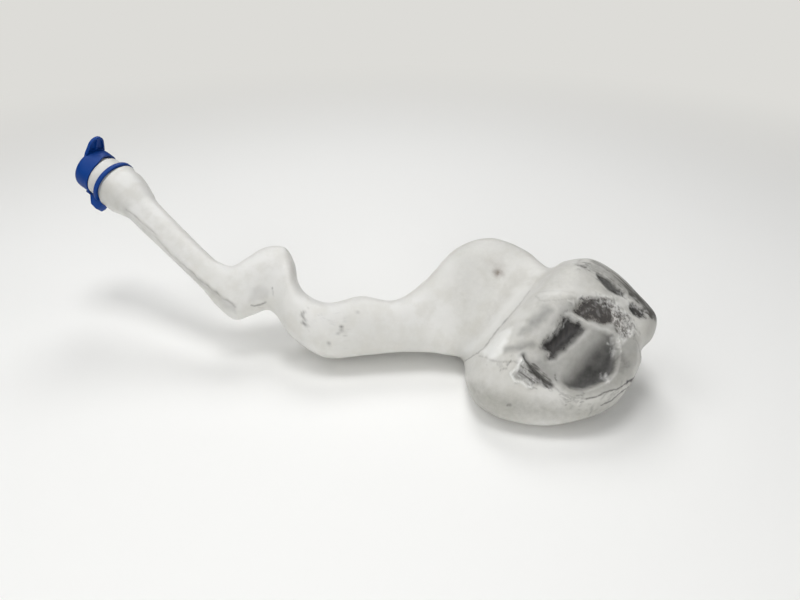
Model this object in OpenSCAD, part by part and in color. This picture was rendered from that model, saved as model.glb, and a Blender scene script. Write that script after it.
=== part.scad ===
/* [Outline of the tank] */
// Length along X of one square of the drafting grid
grid_x = 100; // [95:1:105]
// Length up the parting plane of one square of the drafting grid
grid_v = 100; // [95:1:105]
// Length across the parting plane of one square of the drafting grid
grid_w = 100; // [95:1:105]
// Lean of the parting plane from the table
parting_lean = 45; // [43:1:47]
// Wall of the blown shell
wall = 2.6; // [2:0.1:3.2]

/* [Neck] */
// Distance of the retaining ring's middle left of the foot's centre
neck_reach = 452; // [450:0.5:454]
// Distance of the retaining ring's middle up the parting plane
neck_rise = 208; // [207:0.5:210]
// Heading of the mouth, turned from +X towards +Y
neck_heading = 153.5; // [152:0.5:155]
// Climb of the mouth above the horizontal
neck_climb = 24.5; // [23:0.5:27]
// Radius of the neck where the retaining ring sits
neck_r = 21.6; // [21.4:0.1:21.8]
// Radius of the flange that the retaining ring rests on
flange_r = 24.4; // [24.2:0.1:24.6]
// Thickness of that flange at its edge
flange_t = 1.6; // [1.4:0.1:1.8]
// Height of the plain band, from the ring's middle to the cap
band_h = 15.2; // [15:0.2:16.6]
// Height of the mouth's lip inside the cap
lip_h = 4.2; // [3:0.2:4.6]
// Outer radius of the mouth's lip
lip_r = 19.1; // [18.8:0.1:19.2]

/* [Retaining ring] */
// Outer radius of the retaining ring
ring_r = 25.4; // [25.2:0.1:26]
// Height of the retaining ring
ring_h = 4.2; // [3.8:0.1:4.6]
// Lean of the loose ring from the mouth's own axis
ring_lean = 3.5; // [2:0.5:4]
// Turn of the ring's highest side round the neck, from the lowest side of the neck
ring_lean_turn = 83; // [75:1:90]
// Place of the hinge round the neck, turned from the lowest side
hinge_turn = 44; // [40:1:48]
// Reach of the hinge lug from the neck's axis
lug_reach = 32.5; // [31.5:0.5:33.5]
// Width of the hinge lug at its foot
lug_w = 12.5; // [11:0.5:14]

/* [Cap] */
// Outer radius of the cap
cap_r = 22.6; // [22.4:0.1:22.8]
// Height of the cap
cap_h = 19; // [18:0.2:20]
// Fillet round the cap's top
cap_fillet = 6; // [4:0.5:7]
// Wall of the cap
cap_wall = 2; // [1.8:0.1:2.1]
// Reach of the pull tab from the cap's axis
tab_reach = 37.5; // [36:0.5:39]
// Width of the pull tab
tab_w = 22; // [18:0.5:26]
// Place of the pull tab round the neck, turned from the lowest side
tab_turn = 186; // [180:1:190]
// Lift of the pull tab's tip from square to the cap's axis
tab_lift = 8; // [5:1:11]
// Distance of the hinge line from the neck's axis
hinge_r = 23.4; // [23.3:0.1:23.8]
// Height of the hinge line above the ring's middle
hinge_h = 13.8; // [13.4:0.1:14]
// Thickness of the hinge strap
strap_t = 1.4; // [1.2:0.1:1.6]
// Width of the hinge strap
strap_w = 7; // [6:0.5:9]

/* [Pump port] */
// Diameter of the pump port's bore
port_d = 20; // [18:0.5:22]
// Diameter of the flat boss round the pump port
port_boss_d = 32; // [30:0.5:34]

/* [Hidden] */
$fn = 96;

// Running clearance between moulded pieces
clear = 0.4;
// Overrun of a cut past the face that it opens
over = 1;

// The parting plane leans back from the foot: v runs up it, w runs out of it towards the viewer.
function place(x, v, w) = [
    x,
    v * cos(parting_lean) - w * sin(parting_lean),
    v * sin(parting_lean) + w * cos(parting_lean)
];

// Stations of the blown tank, in grid squares, from the neck's end to the far end.
// Each row: upper edge x, v, w; lower edge x, v, w; bulge to the front; bulge to the back; squareness.
station_shares = [
    [-4.40, 2.25, 0.00, -4.66, 1.92, 0.00, 0.21, 0.21, 2.0],
    [-4.35, 2.24, 0.00, -4.64, 1.88, 0.00, 0.24, 0.24, 2.0],
    [-4.29, 2.20, 0.00, -4.59, 1.83, 0.00, 0.24, 0.24, 2.0],
    [-4.23, 2.15, 0.00, -4.53, 1.78, 0.00, 0.23, 0.23, 2.0],
    [-4.17, 2.07, 0.00, -4.43, 1.74, 0.00, 0.21, 0.21, 2.1],
    [-4.11, 1.97, 0.00, -4.33, 1.69, 0.00, 0.18, 0.18, 2.3],
    [-4.01, 1.83, 0.00, -4.22, 1.59, 0.00, 0.16, 0.16, 2.5],
    [-3.49, 1.32, 0.00, -3.70, 1.11, 0.00, 0.15, 0.15, 2.6],
    [-3.33, 1.20, 0.00, -3.50, 0.92, 0.00, 0.16, 0.16, 2.6],
    [-3.19, 1.17, 0.00, -3.35, 0.75, 0.00, 0.18, 0.18, 2.5],
    [-3.05, 1.26, 0.00, -3.18, 0.62, 0.00, 0.20, 0.20, 2.4],
    [-2.88, 1.37, 0.00, -3.02, 0.66, 0.00, 0.19, 0.21, 2.3],
    [-2.69, 1.37, 0.00, -2.86, 0.72, 0.00, 0.18, 0.22, 2.3],
    [-2.59, 1.22, 0.00, -2.75, 0.66, 0.00, 0.20, 0.25, 2.3],
    [-2.55, 1.03, 0.00, -2.64, 0.50, 0.00, 0.24, 0.30, 2.3],
    [-2.44, 0.87, 0.00, -2.46, 0.34, 0.00, 0.28, 0.38, 2.2],
    [-2.21, 0.78, 0.00, -2.21, 0.23, 0.00, 0.30, 0.42, 2.2],
    [-1.89, 0.85, 0.00, -1.85, 0.26, 0.00, 0.26, 0.38, 2.3],
    [-1.55, 0.81, 0.00, -1.52, 0.29, 0.00, 0.23, 0.34, 2.4],
    [-1.25, 1.01, 0.00, -1.24, 0.29, 0.00, 0.22, 0.34, 2.4],
    [-0.92, 1.35, 0.02, -1.04, 0.26, 0.02, 0.22, 0.36, 2.5],
    [-0.57, 1.45, 0.05, -0.92, 0.24, 0.04, 0.22, 0.40, 2.6],
    [-0.24, 1.30, 0.12, -0.87, 0.19, 0.10, 0.22, 0.50, 2.6],
    [-0.05, 1.08, 0.26, -0.87, 0.10, 0.26, 0.26, 0.60, 2.5],
    [0.08, 1.10, 0.40, -0.87, -0.07, 0.40, 0.34, 0.67, 2.5],
    [0.30, 1.10, 0.46, -0.77, -0.27, 0.47, 0.38, 0.70, 2.6],
    [0.52, 0.98, 0.46, -0.53, -0.40, 0.50, 0.37, 0.68, 2.6],
    [0.72, 0.78, 0.44, -0.20, -0.45, 0.52, 0.35, 0.62, 2.6],
    [0.88, 0.61, 0.40, 0.14, -0.39, 0.54, 0.31, 0.52, 2.5],
    [0.92, 0.50, 0.36, 0.37, -0.30, 0.53, 0.20, 0.38, 2.4],
    [0.87, 0.41, 0.36, 0.53, -0.16, 0.51, 0.12, 0.24, 2.2],
    [0.80, 0.34, 0.39, 0.64, 0.00, 0.49, 0.05, 0.09, 2.0]
];

// Place of the neck that the stations are drawn for; the arm is drawn out or in to reach the real one.
neck_share = [-4.52, 2.08];
neck_shift = [-neck_reach / grid_x - neck_share[0], neck_rise / grid_v - neck_share[1]];

// Recesses moulded into the front, in grid squares; a pad that stands proud has a negative depth.
// Each row: middle x, v; half length; half width; turn of the long side; depth.
relief_shares = [
    [-0.05, 0.29, 0.22, 0.12, 44, 0.09],
    [0.23, 0.07, 0.27, 0.15, 60, 0.11],
    [0.30, 0.63, 0.30, 0.09, -16, 0.03],
    [-0.38, 0.01, 0.19, 0.13, -24, -0.03],
    [-0.55, 1.04, 0.10, 0.08, 0, 0.01],
    [-3.72, 1.18, 0.70, 0.05, -41, 0.01]
];
// The inner skin keeps clear of those recesses by one broad hollow.
inner_relief_shares = [
    [0.10, 0.28, 0.75, 0.68, 0, 0.14]
];

// Steepness of the recesses' edges
relief_edge = 1.3;

// Rings of the outer skin to a station, in the arm and in the main tank from its first station on
arm_rings = 2;
tank_rings = 4;
tank_first = 22;
// Points round the outer skin's front and back, and round the inner skin's
front_points = 40;
back_points = 10;
inner_front_points = 10;
inner_back_points = 6;
inner_rings = 2;
// Stations by which the inner skin stops short at the neck and at the far end
inner_start = 0.5;
inner_end = 2.5;

// A smooth curve through rows b and c, with a and d as their neighbours
function mix(a, b, c, d, t) =
    0.5 * (2 * b + (c - a) * t + (2 * a - 5 * b + 4 * c - d) * t * t
        + (3 * b - a - 3 * c + d) * t * t * t);
function station(i) = station_shares[min(max(i, 0), len(station_shares) - 1)];
function section(s) =
    let (i = floor(s), t = s - i)
    mix(station(i - 1), station(i), station(i + 1), station(i + 2), t);
// A place on the grid in millimetres, with its part of the way that the neck is moved
function on_grid(x, v, w) =
    let (part = min(max(x / neck_share[0], 0), 1))
    [(x + part * neck_shift[0]) * grid_x, (v + part * neck_shift[1]) * grid_v, w * grid_w];
// A coordinate of a squared-off oval, from the cosine or sine of the turn round it
function root(c, n) = sign(c) * pow(abs(c), 2 / n);
// The mean of a ring's points
function middle(ring) = [for (k = [0:len(ring) - 1]) 1] * ring / len(ring);

// Depth of the front relief at a point of the parting plane, with soft round edges.
function relief_at(x, v, table, i = 0) =
    i == len(table) ? 0 :
    let (
        f = table[i],
        dx = x / grid_x - f[0],
        dv = v / grid_v - f[1],
        a = (dx * cos(f[4]) + dv * sin(f[4])) / f[2],
        b = (dv * cos(f[4]) - dx * sin(f[4])) / f[3]
    )
    f[5] * grid_w * exp(-pow(a * a + b * b, relief_edge)) + relief_at(x, v, table, i + 1);

// One ring of the skin, drawn in by an inset, and never lower than the foot.
function ring_at(s, front, back, inset) =
    let (
        r = section(s),
        up = on_grid(r[0], r[1], r[2]),
        low = on_grid(r[3], r[4], r[5]),
        mid = (up + low) / 2,
        half = (up - low) / 2 * (1 - inset / norm((up - low) / 2))
    )
    [for (k = [0:front + back - 1])
        let (
            a = k < front ? 180 * k / front : 180 + 180 * (k - front) / back,
            q = root(sin(a), r[8]),
            c = mid + root(cos(a), r[8]) * half,
            bulge = (q > 0 ? r[6] : r[7]) * grid_w - inset,
            table = inset > 0 ? inner_relief_shares : relief_shares,
            dip = q > 0 ? q * relief_at(c[0], c[1], table) : 0,
            pt = place(c[0], c[1], c[2] + q * bulge - dip)
        )
        [pt[0], pt[1], max(pt[2], inset)]
    ];

// A closed skin through the given places along the stations, its ends drawn to their middles.
module blown_skin(places, front, back, inset) {
    rings = [for (s = places) ring_at(s, front, back, inset)];
    count = front + back;
    n = len(rings);
    tip = n * count;
    last = tip - count;
    sides = [
        for (i = [0:n - 2], k = [0:count - 1])
            let (a = i * count + k, b = i * count + (k + 1) % count)
            each [[a, b + count, b], [a, a + count, b + count]]
    ];
    ends = [
        for (k = [0:count - 1])
            let (m = (k + 1) % count)
            each [[tip, k, m], [tip + 1, last + m, last + k]]
    ];
    polyhedron(
        points = concat([for (r = rings) each r], [middle(rings[0]), middle(rings[n - 1])]),
        faces = concat(sides, ends)
    );
}

// Places the neck's own frame: its axis is Z, the ring's middle is 0, and X is its lowest side.
module at_neck() {
    translate(place(-neck_reach, neck_rise, 0))
        rotate([0, 90 - neck_climb, neck_heading])
            children();
}

// The ring's bore clears the neck also where it leans, and the flange lies under its lowest edge
ring_bore_r = (neck_r + clear) / cos(ring_lean) + ring_h / 2 * tan(ring_lean);
ring_low = ring_h / 2 * cos(ring_lean) + ring_r * sin(ring_lean);
flange_h = -ring_low - clear;
root_h = flange_h - 4 * flange_t;
mouth_h = band_h + lip_h;
mouth_r = lip_r - wall;
neck_bore_r = neck_r - wall;

module neck_outside() {
    rotate_extrude()
        polygon([
            [0, root_h], [lip_r, root_h], [flange_r, flange_h - flange_t], [flange_r, flange_h],
            [neck_r, flange_h], [neck_r, band_h - clear],
            [lip_r, band_h - clear], [lip_r, mouth_h], [0, mouth_h]
        ]);
}

// Room for the loose ring, its lug and the cap, taken off the blown skin's end
module ring_room() {
    rotate_extrude()
        polygon([
            [0, flange_h - flange_t / 2], [flange_r, flange_h - flange_t / 2],
            [flange_r, lug_foot - clear], [lug_reach, lug_foot - clear],
            [lug_reach, 2 * mouth_h], [0, 2 * mouth_h]
        ]);
}

module neck_inside() {
    rotate_extrude()
        polygon([
            [0, root_h - wall], [mouth_r, root_h - wall], [neck_bore_r, flange_h],
            [neck_bore_r, band_h - 2 * wall], [mouth_r, band_h - wall],
            [mouth_r, mouth_h + over], [0, mouth_h + over]
        ]);
}

// The middle of the pump port's flat face, on the hidden back of the tank, and how deep its boss is set
port_share = [0.13, 0.99, -0.07];
port_depth = 0.2 * grid_w;

// Places a length along the port's axis, which runs out of the back, and ends it at the face.
module at_port(depth) {
    translate(place(port_share[0] * grid_x, port_share[1] * grid_v, port_share[2] * grid_w))
        rotate([-90, 0, 0])
            translate([0, 0, -depth])
                children();
}

module tank() {
    last = len(station_shares) - 1;
    arm_places = [for (i = [0:tank_first * arm_rings - 1]) i / arm_rings];
    tank_places = [for (i = [0:(last - tank_first) * tank_rings]) tank_first + i / tank_rings];
    inner_places = [for (i = [inner_start * inner_rings:(last - inner_end) * inner_rings]) i / inner_rings];
    color([0.88, 0.88, 0.86])
        difference() {
            union() {
                difference() {
                    blown_skin(concat(arm_places, tank_places), front_points, back_points, 0);
                    at_neck() ring_room();
                }
                at_neck() neck_outside();
                at_port(port_depth) cylinder(d = port_boss_d, h = port_depth);
            }
            blown_skin(inner_places, inner_front_points, inner_back_points, wall);
            at_neck() neck_inside();
            at_port(port_depth + over) cylinder(d = port_d, h = port_depth + 2 * over);
        }
}

// A plate of the given width across the neck, from an outline in radius and height.
module radial_plate(width) {
    rotate([90, 0, 0])
        linear_extrude(width, center = true)
            children();
}

barrel_r = 0.6 * strap_t;
lug_top = hinge_h - barrel_r - clear;
lug_foot = flange_h - flange_t - clear;
lug_in = neck_r + 2 * clear;

module lean_ring() {
    rotate([0, 0, ring_lean_turn])
        rotate([0, -ring_lean, 0])
            children();
}

// The hinge lug stands on the ring's low side, narrow at the hinge and wide at its foot.
module lug() {
    rotate([0, 0, hinge_turn])
        intersection() {
            radial_plate(lug_w)
                polygon([
                    [lug_in, lug_top], [lug_in, lug_foot], [lug_reach - ring_h, lug_foot],
                    [lug_reach, flange_h], [lug_reach - strap_t, ring_h], [hinge_r + barrel_r, lug_top]
                ]);
            rotate([90, 0, 90])
                linear_extrude(lug_reach)
                    polygon([
                        [-lug_w / 2, lug_foot], [lug_w / 2, lug_foot], [lug_w / 2, ring_h],
                        [strap_w / 2, lug_top], [-strap_w / 2, lug_top], [-lug_w / 2, ring_h]
                    ]);
        }
}

module cap_ring() {
    color([0.13, 0.24, 0.53])
        at_neck()
            difference() {
                union() {
                    lean_ring() cylinder(r = ring_r, h = ring_h, center = true);
                    lug();
                }
                lean_ring() cylinder(r = ring_bore_r, h = 2 * ring_h, center = true);
                translate([0, 0, 2 * lug_foot])
                    cylinder(r = flange_r + clear, h = flange_h + clear - 2 * lug_foot);
            }
}

// The cap's skirt, seat, plug and top, seen in half section.
skirt_bore_r = cap_r - cap_wall;
seat_h = mouth_h + clear;
plug_r = mouth_r - cap_wall;
plug_in = plug_r - cap_wall;
plug_tip = seat_h - lip_h;
cap_top = band_h + cap_h;

module cap_body() {
    rotate_extrude()
        difference() {
            union() {
                translate([0, band_h]) square([cap_r, cap_h - cap_fillet]);
                translate([0, band_h]) square([cap_r - cap_fillet, cap_h]);
                translate([cap_r - cap_fillet, cap_top - cap_fillet]) circle(r = cap_fillet);
            }
            translate([-over, band_h - over]) square([skirt_bore_r + over, seat_h - band_h + over]);
            translate([-over, seat_h - over]) square([plug_in + over, cap_top - cap_wall - seat_h + over]);
            translate([-cap_r, band_h]) square([cap_r, cap_h + over]);
        }
    rotate_extrude()
        polygon([
            [plug_in, seat_h + over], [plug_r, seat_h + over], [plug_r, seat_h],
            [plug_in, plug_tip], [plug_in - cap_wall, plug_tip], [plug_in - over, seat_h + over]
        ]);
}

tab_t = 1.6 * cap_wall;
tab_low = cap_top - cap_fillet;
tab_round = tab_w / 2;
tab_floor = tab_t / 2;

module tab_outline(inset) {
    translate([tab_reach - tab_round, 0])
        circle(r = tab_round - inset);
    translate([plug_r, -tab_round + inset])
        square([tab_reach - tab_round - plug_r, tab_w - 2 * inset]);
}

// The pull tab is hollowed underneath, with a rim round it and one rib along its middle.
module pull_tab() {
    translate([cap_r, 0, tab_low])
        rotate([0, -tab_lift, 0])
            translate([-cap_r, 0, 0])
                difference() {
                    linear_extrude(tab_t)
                        tab_outline(0);
                    translate([0, 0, -over])
                        linear_extrude(tab_t - tab_floor + over)
                            difference() {
                                tab_outline(cap_wall);
                                translate([0, -cap_wall / 2]) square([tab_reach, cap_wall]);
                                circle(r = cap_r + cap_wall / 2);
                            }
                }
}

// The strap comes down from the skirt to the hinge line, where a round edge takes the living hinge's place.
module hinge_strap() {
    radial_plate(strap_w) {
        polygon([
            [cap_r - cap_wall / 2, band_h], [cap_r - cap_wall / 2, band_h + 3 * strap_t],
            [hinge_r + barrel_r, band_h + 2 * strap_t], [hinge_r + barrel_r, hinge_h],
            [hinge_r - barrel_r, hinge_h]
        ]);
        translate([hinge_r, hinge_h])
            circle(r = barrel_r);
    }
}

module filler_cap() {
    color([0.11, 0.22, 0.50])
        at_neck() {
            cap_body();
            rotate([0, 0, tab_turn]) pull_tab();
            rotate([0, 0, hinge_turn]) hinge_strap();
        }
}

tank();
cap_ring();
filler_cap();
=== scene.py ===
"""A used washer fluid reservoir: a milky blown tank with a long kinked neck and a tethered blue cap."""

from contextlib import contextmanager
from math import atan2, cos, hypot, pi, radians, sin, tan

import bmesh
import bpy
import numpy as np
from mathutils import Matrix, Vector, noise


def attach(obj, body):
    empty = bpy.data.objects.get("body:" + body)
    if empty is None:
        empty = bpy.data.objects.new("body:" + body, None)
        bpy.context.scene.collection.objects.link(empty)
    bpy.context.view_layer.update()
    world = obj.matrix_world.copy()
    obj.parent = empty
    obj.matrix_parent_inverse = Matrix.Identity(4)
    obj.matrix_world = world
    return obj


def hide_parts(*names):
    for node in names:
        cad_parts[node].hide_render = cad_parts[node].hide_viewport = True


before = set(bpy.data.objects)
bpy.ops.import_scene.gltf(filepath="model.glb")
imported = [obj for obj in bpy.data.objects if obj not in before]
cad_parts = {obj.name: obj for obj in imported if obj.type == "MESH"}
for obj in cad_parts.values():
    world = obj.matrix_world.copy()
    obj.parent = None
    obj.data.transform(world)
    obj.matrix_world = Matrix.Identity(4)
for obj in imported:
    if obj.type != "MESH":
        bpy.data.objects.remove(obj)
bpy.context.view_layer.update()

# The noise that shifts the edges of the stains, the painted shade and the painted highlights gets a fixed
# seed, or the clock would give one
noise.seed_set(1)

MM = 0.001

# The part's own sizes, in metres and degrees
GRID = 0.100
PARTING_LEAN = radians(45)
LEAN_COS, LEAN_SIN = cos(PARTING_LEAN), sin(PARTING_LEAN)
WALL = 2.6 * MM
NECK_REACH = 452 * MM
NECK_RISE = 208 * MM
NECK_HEADING = radians(153.5)
NECK_CLIMB = radians(24.5)
NECK_R = 21.6 * MM
FLANGE_R = 24.4 * MM
FLANGE_T = 1.6 * MM
BAND_H = 15.2 * MM
LIP_H = 4.2 * MM
LIP_R = 19.1 * MM
RING_R = 25.4 * MM
RING_H = 4.2 * MM
RING_LEAN = radians(3.5)
RING_LEAN_TURN = radians(83)
HINGE_TURN = radians(44)
LUG_REACH = 32.5 * MM
LUG_W = 12.5 * MM
CAP_R = 22.6 * MM
CAP_H = 19 * MM
CAP_FILLET = 6 * MM
CAP_WALL = 2 * MM
TAB_REACH = 37.5 * MM
TAB_W = 22 * MM
TAB_TURN = radians(186)
TAB_LIFT = radians(8)
HINGE_R = 23.4 * MM
HINGE_H = 13.8 * MM
STRAP_T = 1.4 * MM
STRAP_W = 7 * MM
PORT_D = 20 * MM
PORT_BOSS_D = 32 * MM
CLEAR = 0.4 * MM

# The photographed cap sits askew: its skirt is cut back on one side, and its tab sits higher and flatter
SKIRT_CUT = 4.5 * MM
SKIRT_CUT_REACH = 9 * MM
SKIRT_CUT_TURN = radians(232)
TAB_RAISE = 1.8 * MM
TAB_LIFT_SHARE = -0.2
TAB_TIP_SHARE, TAB_ROOT_SHARE = 0.44, 0.56

# What follows from them
RING_BORE_R = (NECK_R + CLEAR) / cos(RING_LEAN) + RING_H / 2 * tan(RING_LEAN)
RING_LOW = RING_H / 2 * cos(RING_LEAN) + RING_R * sin(RING_LEAN)
FLANGE_H = -RING_LOW - CLEAR
MOUTH_H = BAND_H + LIP_H
MOUTH_R = LIP_R - WALL
NECK_BORE_R = NECK_R - WALL
BARREL_R = 0.6 * STRAP_T
LUG_TOP = HINGE_H - BARREL_R - CLEAR
LUG_FOOT = FLANGE_H - FLANGE_T - CLEAR
SKIRT_BORE_R = CAP_R - CAP_WALL
SEAT_H = MOUTH_H + CLEAR
PLUG_R = MOUTH_R - CAP_WALL
PLUG_IN = PLUG_R - CAP_WALL
PLUG_TIP = SEAT_H - LIP_H
CAP_TOP = BAND_H + CAP_H
TAB_T = 1.6 * CAP_WALL
TAB_LOW = CAP_TOP - CAP_FILLET
PORT_X = 0.13 * GRID
PORT_Z = 0.65 * GRID
PORT_FACE_Y = 0.75 * GRID
PORT_ROOT_Y = 0.60 * GRID

# Stations of the blown tank, in grid squares, from the neck's end to the far end.
# Each row: upper edge x, v, w; lower edge x, v, w; bulge to the front; bulge to the back; squareness.
STATION_SHARES = np.array([
    [-4.40, 2.25, 0.00, -4.66, 1.92, 0.00, 0.21, 0.21, 2.0],
    [-4.35, 2.24, 0.00, -4.64, 1.88, 0.00, 0.24, 0.24, 2.0],
    [-4.29, 2.20, 0.00, -4.59, 1.83, 0.00, 0.24, 0.24, 2.0],
    [-4.23, 2.15, 0.00, -4.53, 1.78, 0.00, 0.23, 0.23, 2.0],
    [-4.17, 2.07, 0.00, -4.43, 1.74, 0.00, 0.21, 0.21, 2.1],
    [-4.11, 1.97, 0.00, -4.33, 1.69, 0.00, 0.18, 0.18, 2.3],
    [-4.01, 1.83, 0.00, -4.22, 1.59, 0.00, 0.16, 0.16, 2.5],
    [-3.49, 1.32, 0.00, -3.70, 1.11, 0.00, 0.15, 0.15, 2.6],
    [-3.33, 1.20, 0.00, -3.50, 0.92, 0.00, 0.16, 0.16, 2.6],
    [-3.19, 1.17, 0.00, -3.35, 0.75, 0.00, 0.18, 0.18, 2.5],
    [-3.05, 1.26, 0.00, -3.18, 0.62, 0.00, 0.20, 0.20, 2.4],
    [-2.88, 1.37, 0.00, -3.02, 0.66, 0.00, 0.19, 0.21, 2.3],
    [-2.69, 1.37, 0.00, -2.86, 0.72, 0.00, 0.18, 0.22, 2.3],
    [-2.59, 1.22, 0.00, -2.75, 0.66, 0.00, 0.20, 0.25, 2.3],
    [-2.55, 1.03, 0.00, -2.64, 0.50, 0.00, 0.24, 0.30, 2.3],
    [-2.44, 0.87, 0.00, -2.46, 0.34, 0.00, 0.28, 0.38, 2.2],
    [-2.21, 0.78, 0.00, -2.21, 0.23, 0.00, 0.30, 0.42, 2.2],
    [-1.89, 0.85, 0.00, -1.85, 0.26, 0.00, 0.26, 0.38, 2.3],
    [-1.55, 0.81, 0.00, -1.52, 0.29, 0.00, 0.23, 0.34, 2.4],
    [-1.25, 1.01, 0.00, -1.24, 0.29, 0.00, 0.22, 0.34, 2.4],
    [-0.92, 1.35, 0.02, -1.04, 0.26, 0.02, 0.22, 0.36, 2.5],
    [-0.57, 1.45, 0.05, -0.92, 0.24, 0.04, 0.22, 0.40, 2.6],
    [-0.24, 1.30, 0.12, -0.87, 0.19, 0.10, 0.22, 0.50, 2.6],
    [-0.05, 1.08, 0.26, -0.87, 0.10, 0.26, 0.26, 0.60, 2.5],
    [0.08, 1.10, 0.40, -0.87, -0.07, 0.40, 0.34, 0.67, 2.5],
    [0.30, 1.10, 0.46, -0.77, -0.27, 0.47, 0.38, 0.70, 2.6],
    [0.52, 0.98, 0.46, -0.53, -0.40, 0.50, 0.37, 0.68, 2.6],
    [0.72, 0.78, 0.44, -0.20, -0.45, 0.52, 0.35, 0.62, 2.6],
    [0.88, 0.61, 0.40, 0.14, -0.39, 0.54, 0.31, 0.52, 2.5],
    [0.92, 0.50, 0.36, 0.37, -0.30, 0.53, 0.20, 0.38, 2.4],
    [0.87, 0.41, 0.36, 0.53, -0.16, 0.51, 0.12, 0.24, 2.2],
    [0.80, 0.34, 0.39, 0.64, 0.00, 0.49, 0.05, 0.09, 2.0],
])
MAIN_TANK = 22
NECK_END = 1.5

# Rings of the blown skin, and points round its front and back on the main tank; the arm has half as many
ARM_RINGS, MAIN_RINGS, TIP_RINGS, INNER_RINGS = 225, 186, 7, 84
FRONT_POINTS, BACK_POINTS = 204, 44
TIP_REACH = 3 * MM

# The inner skin: where it starts and ends along the stations, its depth under the outer one as a share of
# the wall, and the one broad hollow by which it keeps clear of the front's recesses
INNER_START, INNER_END = 0.4, 2.2
INNER_WALL_SHARE = 1.15
INNER_HOLLOW = 15 * MM
INNER_HOLLOW_AT = 10 * MM, 28 * MM
INNER_HOLLOW_REACH = 75 * MM, 68 * MM

# Unevenness of the blown wall, its fineness, and how many rings next to the neck have none
RIPPLE, RIPPLE_SCALE = 0.25 * MM, 38
STILL_RINGS = 2

# The shallow notch in the outline where the far lobe meets the belly
NOTCH, NOTCH_V, NOTCH_REACH = 5.5 * MM, 22 * MM, 7.5 * MM
NOTCH_FROM, NOTCH_TO = 54 * MM, 80 * MM

# Outlines on the tank's front, as x and v in millimetres on the parting plane
PLATEAU = [(-26, 69), (-7, 71), (12, 66), (29, 66), (43, 59), (53, 47), (60, 31), (62, 12), (58, -5),
           (43, -15), (23, -22), (8, -24), (-8, -20), (-19, -12), (-30, -4), (-38, 6), (-44, 15),
           (-52, 24), (-43, 42), (-31, 60)]
LEFT_TROUGH = [(-7, 48), (-2, 48), (5, 43), (14, 38), (18, 36), (12, 31), (0, 20), (-8, 13), (-16, 9),
               (-22, 10), (-20, 17), (-26, 20), (-24, 25), (-15, 33), (-8, 42)]
RIGHT_HOLLOW = [(17, 37), (25, 36), (38, 33), (40, 21), (39, 10), (36, 1), (30, -6), (20, -11), (8, -15),
                (-2, -14), (-9, -10), (-13, -3), (-4, 8), (6, 22)]
BROW = [(1, 53), (8, 59), (12, 63), (21, 66), (32, 65), (43, 60), (51, 51), (55, 42), (52, 33), (44, 31),
        (38, 41), (30, 41), (18, 44), (6, 50)]
BROW_DARK = [(2, 53), (8, 58), (12, 62), (20, 65), (32, 64), (38, 60), (41, 52), (38, 44), (30, 42),
             (18, 45), (6, 50)]
BROW_SCUFFS = [(33, 65), (45, 60), (54, 50), (57, 40), (53, 31), (45, 30), (37, 41), (39, 52)]
PAD = [(-48, 9), (-44, 12), (-35, 0), (-28, -8), (-33, -11), (-40, -13), (-47, -9), (-54, -2), (-50, 3)]
SHOULDER = [(-75, 22), (-72, 13), (-68, 12), (-60, 18), (-55, 30), (-50, 40), (-58, 40), (-68, 29)]
SHOULDER_FACET = [(-43, 60), (-38, 61), (-36, 52), (-40, 50), (-50, 46)]
RIGHT_GREY = [(40, 24), (48, 17), (52, 6), (44, -3), (36, 0), (39, 10)]
LEFT_GREY = [(-38, 10), (-28, 12), (-18, 4), (-12, -6), (-18, -12), (-28, -5), (-34, 2)]
LOBE_CUT = [(28, 89), (35, 88), (42, 83), (47, 78), (53, 73), (54, 68), (49, 69), (44, 70), (38, 74),
            (33, 80)]
LOBE_SPOT = [(55, 57), (58, 63), (64, 62), (69, 58), (73, 54), (71, 50), (64, 50), (59, 53)]
LOBE_BAND = [(24, 108), (42, 106), (58, 94), (72, 82), (88, 72), (98, 60), (97, 54), (86, 55), (74, 58),
             (62, 66), (54, 75), (48, 83), (40, 91), (28, 99)]
LOBE_FACET = [(44, 61), (50, 59), (57, 62), (56, 66), (52, 69), (46, 67)]
UPPER_LOBE = [(-30, 66), (-10, 72), (20, 70), (45, 66), (60, 56), (66, 40), (64, 10), (80, 20), (95, 50),
              (80, 75), (50, 98), (30, 108), (0, 108), (-12, 95)]
BELLY = [(-120, 8), (-84, -4), (-60, -14), (-40, -20), (-15, -24), (10, -28), (40, -20), (62, -6),
         (70, -20), (20, -60), (-40, -60), (-95, -35)]
ELBOW_POCKET = [(-299, 77), (-297, 90), (-287, 94), (-281, 88), (-282, 80)]
ELBOW_FACET = [(-303, 64), (-296, 68), (-290, 70), (-283, 70), (-281, 66), (-290, 61), (-300, 60)]
KNUCKLE_FACET = [(-228, 67), (-208, 67), (-201, 58), (-213, 46), (-225, 54)]
TUBE_SHADE = [(-378, 121), (-360, 108), (-345, 97), (-335, 89), (-325, 81), (-312, 73), (-313, 66),
              (-322, 70), (-335, 81), (-348, 92), (-362, 103), (-376, 115)]
BULB_SHADE = [(-434, 176), (-420, 166), (-408, 156), (-402, 151), (-404, 145), (-412, 149), (-424, 158),
              (-436, 168)]
PAD_DARK = [(-44, 14), (-38, 10), (-33, 3), (-27, -4), (-20, -10), (-19, -12), (-25, -11), (-32, -11),
            (-36, -6), (-39, 0), (-42, 7)]
PLATEAU_HAZE = [(-8, 60), (12, 68), (40, 64), (56, 50), (60, 28), (54, 4), (42, -8), (24, -18), (0, -20),
                (-20, -12), (-34, 6), (-30, 24), (-18, 42)]
BULB_LOW = [(-470, 200), (-455, 180), (-436, 168), (-425, 178), (-440, 190), (-455, 206)]
BULB_FACET = [(-442, 206), (-436, 213), (-428, 214), (-421, 205), (-425, 197), (-431, 194), (-439, 199)]

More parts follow.
